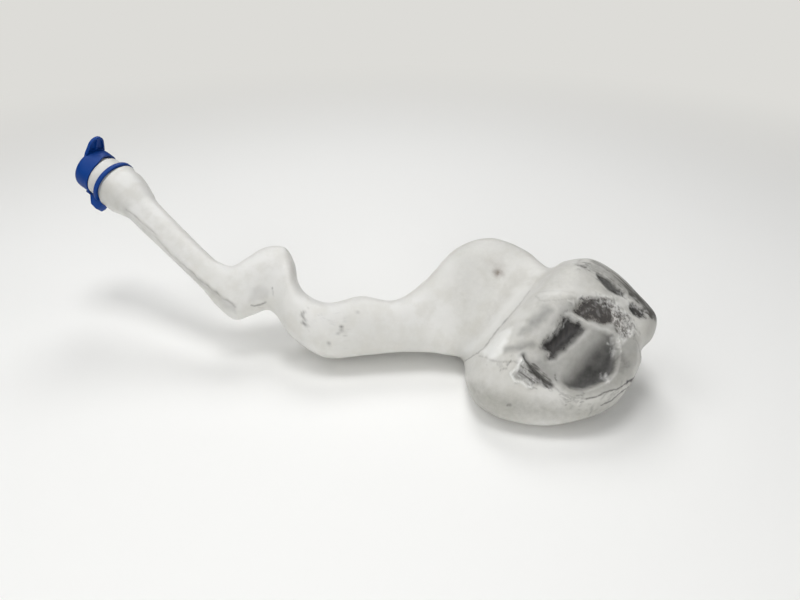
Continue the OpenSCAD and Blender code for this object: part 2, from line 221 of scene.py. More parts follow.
# Straight edges: a place on the edge, and its heading from +X towards the plane's top
RIB = (0, 18), radians(49.2)
TROUGH_SIDE = (0, 21.5), radians(41)
RIB_CREST = [(-18, -4), (-10, 5), (0, 18), (14, 34)]

# Lines on the front
PAD_GROOVE = [(-43, 14), (-40, 8), (-36, 2), (-30, -5), (-24, -9), (-19, -12)]
PAD_RIM = [(-46, 10), (-49, 5), (-54, -1), (-50, -8), (-42, -13), (-36, -13)]
CREASE = [(-86, 18), (-77, 22), (-72, 26), (-60, 42), (-50, 53), (-44, 60), (-37, 68), (-28, 80),
          (-20, 92)]
CREASE_FILLET = [(-82, 28), (-68, 40), (-56, 55), (-44, 70), (-34, 84)]
LEDGE = [(-77, 18), (-70, 12), (-62, 9), (-53, 9)]
BROW_ARC = [(9, 65), (22, 66), (38, 63), (47, 57), (53, 50), (56, 42)]
BROW_LOOP = [(-27, 70), (-25, 64), (-20, 63), (0, 64), (9, 65)]
BROW_LOOP_TOP = [(-24, 74), (-10, 73), (5, 70)]
BROW_BAND = [(-4, 51), (10, 44), (25, 38), (37, 34)]
PLATEAU_FOOT = [(-19, -12), (-10, -19), (0, -22), (10, -23)]
FLASH_UPPER = [(10, -23), (20, -21), (27, -17), (40, -14), (50, -8), (61, -4)]
FLASH_LOWER = [(25, -28), (35, -24), (45, -16), (55, -11)]
HOLLOW_EDGE = [(37, 32), (39, 24), (38, 15)]
HOLLOW_FOOT = [(-10, -11), (-4, -14), (6, -16), (16, -12), (24, -8)]
LOBE_SMEAR = [(18, 97), (29, 92), (38, 84)]
TUBE_SEAM = [(-432, 175), (-420, 165), (-408, 155), (-402, 150), (-395, 140), (-380, 125), (-367, 114),
             (-351, 100), (-336, 88), (-325, 80), (-313, 71)]
ELBOW_LINE = [(-298, 73.5), (-292, 74), (-288, 75.5), (-284, 77.5)]
GOUGE = [(-243, 65), (-245, 60), (-243, 55), (-244, 52), (-241, 50)]
DIMPLE = [(-54, 103)]

# Half width and softness of a fine line
FINE = 0.35, 0.9

# Depths of the main recesses and rise of the field round them, in millimetres
TROUGH_DEPTH, HOLLOW_DEPTH, PLATEAU_RISE = 9.0, 10.0, 1.8

# The rest of the relief: how far it is sunk, negative where it stands proud, then an outline and its
# softness, or a line with its half width and softness
RELIEF = [
    (2.6, BROW, 2.5), (-3.2, PAD, 2), (-0.6, PAD_RIM, 1.2, 1.2), (2.6, PAD_GROOVE, 1.2, 2.2),
    (2, CREASE, 1, 3), (-1.8, SHOULDER, 3), (-0.6, SHOULDER_FACET, 2), (0.9, LEDGE, 0.8, 1.6),
    (0.6, BROW_ARC, 0.5, 1), (0.25, BROW_LOOP, 0.5, 1.2), (-0.8, BROW_BAND, 1.5, 1.8),
    (0.9, FLASH_UPPER, 0.5, 1.2), (0.8, FLASH_LOWER, 0.5, 1.2), (3.5, LOBE_CUT, 2),
    (2.5, LOBE_SPOT, 2), (1.4, DIMPLE, 2.5, 3.5), (1.5, TUBE_SEAM, 0.9, 1.6), (1, ELBOW_POCKET, 3),
    (-0.8, ELBOW_FACET, 2), (0.9, ELBOW_LINE, 0.5, 1.2), (1, GOUGE, 0.8, 1.4), (0.8, KNUCKLE_FACET, 3)]

# Soiled and worn places, painted shade and painted highlights, by mask: the share, and then as above
STAINS_AND_PAINTED_LIGHT = {
    # This mask greys the upper lobe, the plateau and, below, the main tank and its belly; on the bulb's
    # underside (BULB_LOW) it is painted shade.
    "grey_and_shade": [
        (0.38, UPPER_LOBE, 10), (0.46, PLATEAU, 5), (0.24, BULB_LOW, 6)],
    # This mask darkens grey smears and grime, and also paints shade: along the tube's and bulb's lower
    # edges (TUBE_SHADE, BULB_SHADE) and in the places noted below.
    "smear_and_shade": [
        (0.66, PAD_DARK, 2), (0.40, [(-16, -2), (-22, 4), (-26, 12)], 3, 6), (0.45, RIGHT_GREY, 5),
        # RIB_CREST's grey is painted shade down the rib's side.
        (0.36, LEFT_GREY, 5), (0.24, RIB_CREST, 5, 4), (0.27, PLATEAU_HAZE, 7),
        # The band along LOBE_BAND is grime together with painted shade along the lobe's top outline.
        (0.62, LOBE_BAND[4:9], 5, 6), (0.36, [(40, 90), (54, 78), (66, 68)], 3, 5),
        (0.97, [(-4, -12), (4, -13), (12, -11), (18, -7)], 1.5, 5), (0.45, BROW, 2.5),
        (0.76, BROW_DARK, 2.4), (0.90, LOBE_CUT, 3), (0.30, [(32, 84), (40, 78), (48, 73)], 3.5, 5),
        (0.80, LOBE_SPOT, 4), (0.55, HOLLOW_FOOT, 1, 4.5), (0.50, PAD_GROOVE[:2], 2.5, 3),
        (0.44, [(-20, 54), (-26, 47), (-33, 42)], 4, 5), (0.34, [(-36, 38), (-42, 35)], 3, 4.5),
        (0.46, [(-34, 24), (-46, 21), (-56, 20)], 2.5, 4), (0.22, LOBE_SMEAR, 6, 8),
        # The dark bands along PAD_GROOVE, here and above, are painted shadow cast by the pad's upper edge.
        (0.95, PAD_GROOVE, 1.3, 1.8), (0.60, PAD_GROOVE[2:5], 3.2, 2), (0.44, PAD, 2),
        # ELBOW_POCKET's darkening here is painted shade in the elbow pocket.
        (0.30, [(34, 74), (44, 68), (58, 54)], 3, 6), (0.07, ELBOW_POCKET, 4), (0.22, TUBE_SHADE, 2.5),
        (0.12, BULB_SHADE, 2.5), (0.28, [(-337, 87), (-333, 84)], 1.5, 1.5)],
    "soot": [
        (0.78, BROW_DARK, 3.5), (0.30, LOBE_CUT, 2), (0.80, LOBE_SPOT, 5),
        (0.75, [(10, 64), (22, 65), (33, 64)], 1.2, 1.6)],
    "streak_and_shade": [
        # This mask darkens streaks of grime, and paints shade along the lobe's top outline and along the
        # pad's groove.
        (0.95, LOBE_BAND[4:9], 5, 5), (0.38, LOBE_SMEAR, 7, 8), (0.34, PAD, 2),
        # The band along PAD_GROOVE is painted shadow cast by the pad's upper edge.
        (0.55, PAD_GROOVE[2:5], 5, 3)],
    "scuff": [
        (1.00, BROW_SCUFFS, 3), (0.12, BROW, 2), (0.70, BROW_ARC[:4], 2, 2.5),
        (0.50, LEFT_TROUGH[9:] + LEFT_TROUGH[:2], 2, 2.5), (0.45, HOLLOW_EDGE, 3, 3),
        (0.45, [(46, 78), (56, 68), (72, 60)], 2.5, 3.5),
        (0.70, [(-26, 20), (-20, 16), (-22, 10)], 1.5, 2), (0.60, [(72, 55), (79, 54)], 1.5, 3)],
    # This mask browns the rust stain round DIMPLE and the brow's grime, and tints the elbow pocket with
    # painted shade.
    "umber_and_shade": [
        (1.00, DIMPLE, 3.2, 5), (0.22, [(-50, 109), (-58, 113)], 4, 7), (0.30, BROW_DARK, 3),
        # ELBOW_POCKET's brown tint is painted shade in the pocket.
        (0.10, ELBOW_POCKET, 4)],
    "pale": [
        # SHOULDER, CREASE_FILLET and SHOULDER_FACET are painted highlights on faces turned up to the light;
        # BULB_FACET and the patch by the gouge are painted highlights on lit facets; ELBOW_FACET is a
        # painted reflection of the floor.
        (0.85, SHOULDER, 3), (0.50, CREASE_FILLET, 4, 5), (0.55, BULB_FACET, 3),
        (0.25, SHOULDER_FACET, 2), (1.00, PAD_RIM, 0.8, 1.1), (0.65, HOLLOW_EDGE, 0.5, 1),
        (0.75, [(30, -3), (29, -7)], 0.6, 1.1), (0.35, BROW_BAND, 1.2, 1.8), (0.45, ELBOW_FACET, 2),
        (0.30, LOBE_FACET, 1.2), (0.60, [(-202, 38.5)], 0.6, 1),
        (0.30, [(-252, 76), (-242, 77)], 3, 4)],
    "line": [
        (0.24, TUBE_SEAM, 0.4, 1.1), (0.75, [(50, -8), (62, -3)], 1.2, 1.2),
        (0.18, [(-292, 72.6), (-286, 72.4)], 0.3, 0.9), (0.40, GOUGE, 1, 1.3),
        (0.50, [(-276.5, 90)], 0.8, 1.2), (0.22, [(-276, 87), (-276, 84)], 0.6, 1.6),
        (0.80, [(-206, 49)], 0.7, 1.3), (0.30, [(-206, 47), (-211, 43)], 1, 2),
        (0.55, [(-203, 41), (-201, 41.5)], 0.5, 1), (0.42, [(-218, 34)], 1.4, 1.6),
        (0.28, [(-192, 64)], 1.2, 1.8), (0.45, [(-62, 2), (-58, 4)], 0.4, 0.9),
        (0.55, [(-57, 7), (-53, 9)], 0.5, 0.9), (0.40, [(-57, -28), (-53, -27)], 0.6, 1),
        (0.45, [(-7, -28)], 0.5, 1), (0.45, [(0, -20), (1, -25), (4, -23)], 0.3, 0.9),
        (0.30, [(17, -29), (16, -34)], 0.8, 1.4), (0.55, [(-17, -3), (-14, -8)], 0.4, 0.9),
        (0.30, [(58, 30), (64, 20), (67, 14)], 0.4, 1.2), (0.45, [(66, 16), (69, 14)], 0.5, 1)]}

# Fine scratches and parting lines: the share and the line
THIN_LINES = [
    (0.45, CREASE[:5]), (0.22, CREASE[4:8]), (0.50, BROW_ARC), (0.16, BROW_LOOP), (0.10, BROW_LOOP_TOP),
    (0.30, PLATEAU_FOOT), (0.75, FLASH_UPPER), (0.70, FLASH_LOWER), (0.28, LEDGE), (0.55, ELBOW_LINE)]

# Flecks: the mask, its share, the line that they lie about, their spread, number and length
FLECKS = [
    ("pale", 0.80, [(-27, 17), (-24, 25), (-15, 33), (-8, 43), (-3, 49)], 1.9, 34, 3),
    ("line", 0.60, [(-27, 17), (-25, 26), (-16, 34), (-8, 44), (0, 50)], 3, 18, 3),
    ("line", 0.85, [(30, 64), (43, 59), (52, 49), (54, 36), (48, 30)], 3.6, 52, 4.5),
    ("pale", 1.00, [(28, 65), (44, 60), (53, 50), (54, 38), (47, 29), (41, 24)], 3.6, 60, 4),
    ("pale", 0.32, [(10, 58), (24, 57), (38, 50)], 3.4, 14, 3.5),
    ("line", 0.70, [(2, 59), (14, 65), (34, 66), (46, 62)], 1, 16, 8),
    ("pale", 0.60, [(0, 62), (14, 67), (34, 68), (48, 64)], 1.6, 16, 6),
    ("pale", 0.75, [(-46, 8), (-50, 0), (-46, -8), (-36, -12)], 2.2, 18, 3.5),
    ("line", 0.75, [(-43, 13), (-38, 4), (-30, -5), (-20, -12)], 2.2, 24, 4.5),
    ("pale", 0.60, [(-45, 9), (-40, -2), (-30, -10)], 2.6, 14, 3),
    ("line", 0.70, [(-46, 6), (-43, -5), (-34, -11)], 2.2, 20, 4),
    ("line", 0.60, [(24, 95), (34, 87), (48, 78), (58, 68)], 3.2, 34, 6),
    ("pale", 0.75, [(43, 73), (50, 69), (58, 65), (71, 56)], 2.2, 30, 3),
    ("line", 0.50, [(12, 100), (28, 96), (42, 88)], 4, 18, 9),
    ("line", 0.80, [(-10, -22), (0, -23), (8, -23)], 2, 20, 3),
    ("pale", 0.70, [(28, -1), (30, -8)], 1.6, 9, 2.5),
    ("pale", 0.75, [(37, 32), (40, 24), (38, 13)], 1.6, 18, 3),
    ("line", 0.45, [(40, 30), (44, 20), (44, 6)], 3, 14, 4),
    ("line", 0.45, [(-78, 10), (-62, 5), (-52, 10)], 2.4, 9, 2.5),
    ("line", 0.30, [(-20, -26), (10, -30), (30, -28)], 4, 12, 3),
    ("line", 0.26, [(-240, 58), (-222, 56), (-204, 44), (-210, 36)], 6, 22, 2.5),
    ("pale", 0.45, [(-226, 58), (-206, 50), (-200, 38)], 4, 12, 2.5),
    ("line", 0.45, [(20, -26), (40, -16), (60, -6)], 1.4, 16, 6)]


def smooth(low, high, t):
    """A soft step from 0 at low to 1 at high."""
    t = np.clip((t - low) / (high - low), 0, 1)
    return t * t * (3 - 2 * t)


def stroke_distance(x, v, points):
    """How far each place of the parting plane is from a line through the points, in millimetres."""
    far = np.full(x.shape, 1e9)
    ends = points[1:] or points
    for (ax, av), (bx, bv) in zip(points, ends):
        dx, dv = bx - ax, bv - av
        length = max(dx * dx + dv * dv, 1e-9)
        t = np.clip(((x - ax) * dx + (v - av) * dv) / length, 0, 1)
        far = np.minimum(far, np.hypot(x - ax - t * dx, v - av - t * dv))
    return far


def depth_inside(x, v, outline):
    """How far each place is inside an outline, negative outside it, in millimetres."""
    closed = outline + outline[:1]
    inside = np.zeros(x.shape, bool)
    for (ax, av), (bx, bv) in zip(closed, closed[1:]):
        if av != bv:
            crosses = (av > v) != (bv > v)
            inside ^= crosses & (x < ax + (v - av) / (bv - av) * (bx - ax))
    return np.where(inside, 1, -1) * stroke_distance(x, v, closed)


def patch(x, v, outline, soft):
    return smooth(-soft, soft, depth_inside(x, v, outline))


def stroke(x, v, points, half_width, soft):
    return 1 - smooth(half_width - soft, half_width + soft, stroke_distance(x, v, points))


def spot(x, v, points, *widths):
    """A patch inside an outline, from its softness, or a stroke, from its half width and softness."""
    return (patch if len(widths) == 1 else stroke)(x, v, points, *widths)


def flecks(x, v, line, spread, count, length, seed):
    """Short strokes scattered about a line, each of its own strength; they lie roughly along it."""
    random = np.random.default_rng(seed)
    line = np.array(line, dtype=float)
    legs = np.diff(line, axis=0)
    reach = np.concatenate([[0], np.cumsum(np.hypot(*legs.T))])
    mask = np.zeros_like(x)
    for _ in range(count):
        leg = np.clip(np.searchsorted(reach, random.uniform(0, reach[-1])) - 1, 0, len(legs) - 1)
        middle = line[leg] + legs[leg] * random.uniform() + random.normal(0, spread, 2)
        turn = atan2(legs[leg][1], legs[leg][0]) + random.normal(0, 0.6)
        half = 0.5 * length * random.uniform(0.4, 1.3) * np.array([cos(turn), sin(turn)])
        near = (np.abs(x - middle[0]) < length + 4) & (np.abs(v - middle[1]) < length + 4)
        mark = stroke(x[near], v[near], [middle - half, middle + half], *FINE)
        mask[near] = np.maximum(mask[near], random.uniform(0.45, 1.0) * mark)
    return mask


def right_of(edge, x, v):
    """How far each place lies to the right of a straight edge, in millimetres."""
    (at_x, at_v), heading = edge
    return (x - at_x) * sin(heading) - (v - at_v) * cos(heading)


def front_relief(x, v):
    """How far the front is sunk at each place, in metres."""
    x, v = x / MM, v / MM
    depth = -PLATEAU_RISE * patch(x, v, PLATEAU, 4.5)
    depth += TROUGH_DEPTH * patch(x, v, LEFT_TROUGH, 4.5) * smooth(-2, 12, -right_of(TROUGH_SIDE, x, v))
    depth += HOLLOW_DEPTH * patch(x, v, RIGHT_HOLLOW, 3.0) * smooth(0, 25, right_of(RIB, x, v))
    for sunk, *shape in RELIEF:
        depth += sunk * spot(x, v, *shape)
    return depth * MM


def rows_at(places):
    """The station table at places between its rows, on a smooth curve through them."""
    last = len(STATION_SHARES) - 1
    whole = np.floor(places).astype(int)
    t = (places - whole)[:, None]
    a, b, c, d = (STATION_SHARES[np.clip(whole + k, 0, last)] for k in (-1, 0, 1, 2))
    return 0.5 * (2 * b + (c - a) * t + (2 * a - 5 * b + 4 * c - d) * t * t
                  + (3 * b - a - 3 * c + d) * t ** 3)


def place(x, v, w):
    """From the drafting grid on the leaning parting plane to the frame."""
    return np.stack([x, v * LEAN_COS - w * LEAN_SIN, v * LEAN_SIN + w * LEAN_COS], axis=-1)


def root(c, squareness):
    return np.sign(c) * np.abs(c) ** (2 / squareness)


def loft_rings(places, angles, relief=front_relief):
    """Rings of the blown skin at places along the stations, with the front's relief."""
    rows = rows_at(places)
    up, low = rows[:, None, 0:3] * GRID, rows[:, None, 3:6] * GRID
    squareness = rows[:, 8:9]
    c, q = root(np.cos(angles), squareness), root(np.sin(angles), squareness)
    middle = (up + low) / 2 + c[..., None] * (up - low) / 2
    bulge = np.where(q > 0, rows[:, 6:7], rows[:, 7:8]) * GRID
    x, v, w = middle[..., 0], middle[..., 1], middle[..., 2]
    w = w + q * bulge - np.clip(q, 0, 1) * relief(x, v)
    x = x - NOTCH * np.exp(-((v - NOTCH_V) / NOTCH_REACH) ** 2) * smooth(NOTCH_FROM, NOTCH_TO, x)
    points = place(x, v, w)
    points[..., 2] = foot_height(points[..., 2])
    return points


def foot_height(z, soft=3 * MM):
    """Heights above the foot's plane, with a soft edge where the skin meets it."""
    return np.where(z > soft, z, np.where(z < -soft, 0, (z + soft) ** 2 / (4 * soft)))


def neck_frame():
    """The mouth's own frame: its axis is Z, the ring's middle is 0, and X is its lowest side."""
    turn = Matrix.Rotation(NECK_HEADING, 4, "Z") @ Matrix.Rotation(pi / 2 - NECK_CLIMB, 4, "Y")
    return Matrix.Translation(Vector(place(-NECK_REACH, NECK_RISE, 0.0))) @ turn


def neck_rings(profile, angles):
    """Round rings about the mouth's axis, from radii and heights, in step with the loft's rings."""
    frame_at = neck_frame()
    axis = np.array(frame_at.col[2][:3])
    out = place(0.0, 0.0, 1.0)
    out = out - axis * (out @ axis)
    out /= np.linalg.norm(out)
    up = np.cross(out, axis)
    up *= np.sign(up @ place(0.0, 1.0, 0.0))
    middle = np.array(frame_at.translation)
    r, h = np.array(profile).T
    round_ring = np.cos(angles)[:, None] * up + np.sin(angles)[:, None] * out
    return middle + h[:, None, None] * axis + r[:, None, None] * round_ring


def fillet(a, b, c, radius, steps=4):
    """A few points that round the corner b between a and c."""
    a, b, c = (np.array(p, float) for p in (a, b, c))
    to_a, to_c = (a - b) / np.linalg.norm(a - b), (c - b) / np.linalg.norm(c - b)
    start, end = b + to_a * radius, b + to_c * radius
    t = np.linspace(0, 1, steps)[:, None]
    return [tuple(p) for p in (1 - t) ** 2 * start + 2 * t * (1 - t) * b + t * t * end]


def rounded(points, radii):
    """An open profile with each inner corner rounded by its radius."""
    result = [points[0]]
    for i in range(1, len(points) - 1):
        radius = radii[i]
        result += fillet(points[i - 1], points[i], points[i + 1], radius) if radius else [points[i]]
    return result + [points[-1]]


def grid_normals(rings):
    """Normals of a closed grid of rings, pointing out of it."""
    along = np.gradient(rings, axis=0)
    around = np.roll(rings, -1, axis=1) - np.roll(rings, 1, axis=1)
    normals = np.cross(around, along)
    normals /= np.linalg.norm(normals, axis=2, keepdims=True) + 1e-12
    outward = (normals * (rings - rings.mean(axis=1, keepdims=True))).sum()
    return normals * np.sign(outward)


def inner_hollow(x, v):
    """How far the inner skin is sunk at each place, in metres."""
    (at_x, at_v), (reach_x, reach_v) = INNER_HOLLOW_AT, INNER_HOLLOW_REACH
    away = ((x - at_x) / reach_x) ** 2 + ((v - at_v) / reach_v) ** 2
    return INNER_HOLLOW * np.exp(-away ** 1.3)


def blown_shell():
    """One closed skin: out of the mouth, down the outside to the far end, and back up the inside."""
    fine = np.concatenate([np.linspace(0, pi, FRONT_POINTS, endpoint=False),
                           np.linspace(pi, 2 * pi, BACK_POINTS, endpoint=False)])
    coarse = fine[::2]
    last = len(STATION_SHARES) - 1
    outer_neck = rounded(
        [(MOUTH_R, MOUTH_H - WALL), (MOUTH_R, MOUTH_H), (LIP_R, MOUTH_H), (LIP_R, BAND_H - CLEAR),
         (NECK_R, BAND_H - CLEAR), (NECK_R, FLANGE_H), (FLANGE_R, FLANGE_H),
         (FLANGE_R, FLANGE_H - FLANGE_T)],
        [0, 0.6 * MM, 0.6 * MM, 0.5 * MM, 0.8 * MM, 0.8 * MM, 0.7 * MM, 0])
    neck = neck_rings(outer_neck, coarse)
    arm = loft_rings(np.linspace(NECK_END, MAIN_TANK, ARM_RINGS, endpoint=False), coarse)
    main = loft_rings(np.linspace(MAIN_TANK, last, MAIN_RINGS), fine)
    end = main[-1]
    middle = end.mean(axis=0)
    away = middle - main[-8].mean(axis=0)
    away /= np.linalg.norm(away)
    tip = [middle + (end - middle) * cos(t) + away * TIP_REACH * sin(t)
           for t in np.linspace(0.25, 1.5, TIP_RINGS)]

    plain = loft_rings(np.linspace(NECK_END + INNER_START, last - INNER_END, INNER_RINGS), coarse,
                       inner_hollow)
    inner = plain - grid_normals(plain) * INNER_WALL_SHARE * WALL
    inner_neck = neck_rings([(NECK_BORE_R, FLANGE_H), (NECK_BORE_R, BAND_H - 2 * WALL),
                             (MOUTH_R, BAND_H - WALL)], coarse)
    return (np.concatenate([neck, arm]), np.concatenate([main, np.array(tip)]),
            np.concatenate([inner[::-1], inner_neck]))


def strip(first, count):
    """Faces between a ring of points and the next ring of as many."""
    return [(first + k, first + (k + 1) % count, first + count + (k + 1) % count, first + count + k)
            for k in range(count)]


def shell_mesh(name, outer, main, inner):
    """Joins the rings of arm, main tank and inside into one closed mesh."""
    few, many = outer.shape[1], main.shape[1]
    points = np.concatenate([outer.reshape(-1, 3), main.reshape(-1, 3), inner.reshape(-1, 3),
                             [main[-1].mean(axis=0), inner[0].mean(axis=0)]])
    main_at = outer.shape[0] * few
    inner_at = main_at + main.shape[0] * many
    tip_out, tip_in = len(points) - 2, len(points) - 1
    faces = []
    for first, rings, count in ((0, outer, few), (main_at, main, many), (inner_at, inner, few)):
        for i in range(len(rings) - 1):
            faces += strip(first + i * count, count)
    seam, end, last = main_at - few, inner_at - many, inner_at + (len(inner) - 1) * few
    for k in range(few):
        m = (k + 1) % few
        faces.append((seam + k, seam + m, main_at + 2 * m, main_at + 2 * k + 1, main_at + 2 * k))
        faces.append((inner_at + m, inner_at + k, tip_in))
        faces.append((last + k, last + m, m, k))
    for k in range(many):
        faces.append((end + k, end + (k + 1) % many, tip_out))
    return new_object(name, points, faces)


@contextmanager
def editing(mesh):
    """A mesh opened for edits, which are written back at the end."""
    work = bmesh.new()
    work.from_mesh(mesh)
    yield work
    work.to_mesh(mesh)
    work.free()


def new_object(name, points, faces):
    mesh = bpy.data.meshes.new(name)
    mesh.from_pydata([tuple(p) for p in points], [], faces)
    mesh.validate()
    obj = bpy.data.objects.new(name, mesh)
    bpy.context.scene.collection.objects.link(obj)
    with editing(mesh) as work:
        bmesh.ops.recalc_face_normals(work, faces=work.faces)
    return obj


def shade_smooth(obj, sharp_angle=radians(35)):
    with editing(obj.data) as work:
        for face in work.faces:
            face.smooth = True
        for edge in work.edges:
            edge.smooth = len(edge.link_faces) != 2 or edge.calc_face_angle(0) < sharp_angle


def bake_modifiers(obj):
    """Puts what the modifiers make into the object's own mesh."""
    shape = bpy.data.meshes.new_from_object(obj.evaluated_get(bpy.context.evaluated_depsgraph_get()))
    obj.modifiers.clear()
    obj.data = shape


def boolean(obj, tool, operation):
    """Joins a closed tool to a closed object, or cuts it out of it, and removes the tool."""
    step = obj.modifiers.new(operation, "BOOLEAN")
    step.operation, step.object, step.solver = operation, tool, "EXACT"
    bake_modifiers(obj)
    bpy.data.objects.remove(tool)


def revolve(name, profile, at=Matrix(), steps=96):
    """A closed solid of revolution about Z from a closed profile of radius and height."""
    points, faces = [], []
    count = len(profile)
    for i in range(steps):
        turn = 2 * pi * i / steps
        points += [(r * cos(turn), r * sin(turn), h) for r, h in profile]
        j = (i + 1) % steps
        for k in range(count):
            m = (k + 1) % count
            faces.append((i * count + k, j * count + k, j * count + m, i * count + m))
    obj = new_object(name, points, faces)
    with editing(obj.data) as work:
        bmesh.ops.remove_doubles(work, verts=work.verts, dist=1e-7)
        bmesh.ops.dissolve_degenerate(work, dist=1e-7, edges=work.edges)
        bmesh.ops.recalc_face_normals(work, faces=work.faces)
    obj.data.transform(at)
    return obj


def prism(name, outline, low, high, at=Matrix(), bevel=0.0):
    """A closed outline in X and Y, from one height to another, with its edges rounded."""
    count = len(outline)
    points = [(x, y, low) for x, y in outline] + [(x, y, high) for x, y in outline]
    sides = [(k, (k + 1) % count, count + (k + 1) % count, count + k) for k in range(count)]
    faces = sides + [tuple(range(count))[::-1], tuple(range(count, 2 * count))]
    obj = new_object(name, points, faces)
    if bevel:
        soften(obj, bevel)
    obj.data.transform(at)
    return obj


def soften(obj, width, segments=3):
    step = obj.modifiers.new("soft edges", "BEVEL")
    step.width, step.segments = width, segments
    step.limit_method, step.angle_limit = "ANGLE", radians(40)
    bake_modifiers(obj)


def add_port(tank):
    """The flat boss and round bore of the pump port on the tank's back."""
    at = Matrix.Translation((PORT_X, 0, PORT_Z)) @ Matrix.Rotation(-pi / 2, 4, "X")
    boss_r = PORT_BOSS_D / 2
    edge = 1.2 * MM
    boss = [(0, PORT_ROOT_Y)] + rounded(
        [(boss_r, PORT_ROOT_Y), (boss_r, PORT_FACE_Y), (0, PORT_FACE_Y)], [0, edge, 0])
    boolean(tank, revolve("boss", boss, at), "UNION")
    bore_r = PORT_D / 2
    over = 3 * MM
    bore = [(0, PORT_ROOT_Y - over), (bore_r, PORT_ROOT_Y - over), (bore_r, PORT_FACE_Y - 0.6 * MM),
            (bore_r + 1.6 * MM, PORT_FACE_Y + MM), (0, PORT_FACE_Y + MM)]
    boolean(tank, revolve("bore", bore, at), "DIFFERENCE")


def wander(points, reach, size):
    """A smooth random shift of each place, so that no painted edge is a drawn line."""
    across = [noise.noise_vector(Vector(p) / size) for p in points]
    return reach * np.array(across)[:, 0], reach * np.array(across)[:, 1]


def mark_front(tank):
    """Stores the soiled and worn places of the front, with painted shade and painted highlights, on the
    mesh, each as a soft mask.
    """
    mesh = tank.data
    at, normal = np.empty((2, 3 * len(mesh.vertices)))
    mesh.vertices.foreach_get("co", at)
    mesh.vertex_normals.foreach_get("vector", normal)
    at, normal = at.reshape(-1, 3) / MM, normal.reshape(-1, 3)
    x, v = at[:, 0], at[:, 1] * LEAN_COS + at[:, 2] * LEAN_SIN
    facing = smooth(-0.45, -0.10, normal[:, 2] * LEAN_COS - normal[:, 1] * LEAN_SIN)
    near_x, near_v = wander(at, 0.6, 3.0)
    thin_x, thin_v = x + near_x, v + near_v
    far_x, far_v = wander(at + 500, 2.2, 7.0)
    x, v = thin_x + far_x, thin_v + far_v

    right, left = right_of(RIB, x, v), -right_of(TROUGH_SIDE, x, v)
    trough = patch(x, v, LEFT_TROUGH, 3.5) * smooth(-4, 7, left)
    # The hollow's dark grime is graded from light at the rib to dark away from it, and a little lighter
    # towards its top; the grading is painted shade down the rib's side.
    hollow = patch(x, v, RIGHT_HOLLOW, 2.6) * (0.30 + 0.66 * smooth(4, 24, right)) * smooth(-3, 3, right)
    hollow *= 1 - 0.22 * smooth(14, 34, v)
    # The lobe band: grime and painted shade along the lobe's top outline, fading towards the top.
    lobe = (1 - 0.5 * smooth(70, 96, v)) * patch(x, v, LOBE_BAND, 3.5)
    graded = {
        # Greyer over the main tank, and over the belly, fading out towards its lowest part
        "grey_and_shade": [0.24 * smooth(-115, -84, x), 0.66 * patch(x, v, BELLY, 12) * smooth(-56, -30, v)],
        "smear_and_shade": [0.93 * hollow, 0.95 * trough, 0.48 * lobe],
        "soot": [patch(x, v, LEFT_TROUGH, 5.0) * smooth(1, 11, left)],
        "streak_and_shade": [0.66 * lobe],
        "line": [share * stroke(thin_x, thin_v, line, *FINE) for share, line in THIN_LINES]}
    masks = {name: np.maximum.reduce([share * spot(x, v, *shape) for share, *shape in rows]
                                     + graded.get(name, []))
             for name, rows in STAINS_AND_PAINTED_LIGHT.items()}
    masks["line"] = np.minimum(1.4 * masks["line"], 1)
    for name, share, line, spread, number, length in FLECKS:
        marks = flecks(x, v, line, spread, number, length, len(line) + number)
        masks[name] = np.maximum(masks[name], share * marks)
    for name, mask in masks.items():
        layer = mesh.attributes.new(name, "FLOAT", "POINT")
        layer.data.foreach_set("value", (mask * facing).astype(np.float32))


def ripple(points):
    """Small unevenness of a blown wall, in metres."""
    return np.array([RIPPLE * noise.noise(Vector(p) * RIPPLE_SCALE) for p in points.reshape(-1, 3)])


def make_tank():
    outer, main, inner = blown_shell()
    neck_rows = len(outer) - ARM_RINGS
    for rings, still in ((outer, neck_rows + STILL_RINGS), (main, 0)):
        waves = ripple(rings).reshape(rings.shape[:2])
        waves[:still] = 0
        rings += grid_normals(rings) * waves[..., None]
        rings[..., 2] = np.maximum(rings[..., 2], 0)
    tank = shell_mesh("blown_tank", outer, main, inner)
    add_port(tank)
    mark_front(tank)
    shade_smooth(tank, radians(50))
    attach(tank, "tank")
    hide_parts("tank")
    return tank


def radial_plate(name, outline, width, bevel):
    """A plate across the neck, from an outline in radius and height."""
    upright = Matrix.Rotation(pi / 2, 4, "X")
    return prism(name, outline, -width / 2, width / 2, upright, bevel)


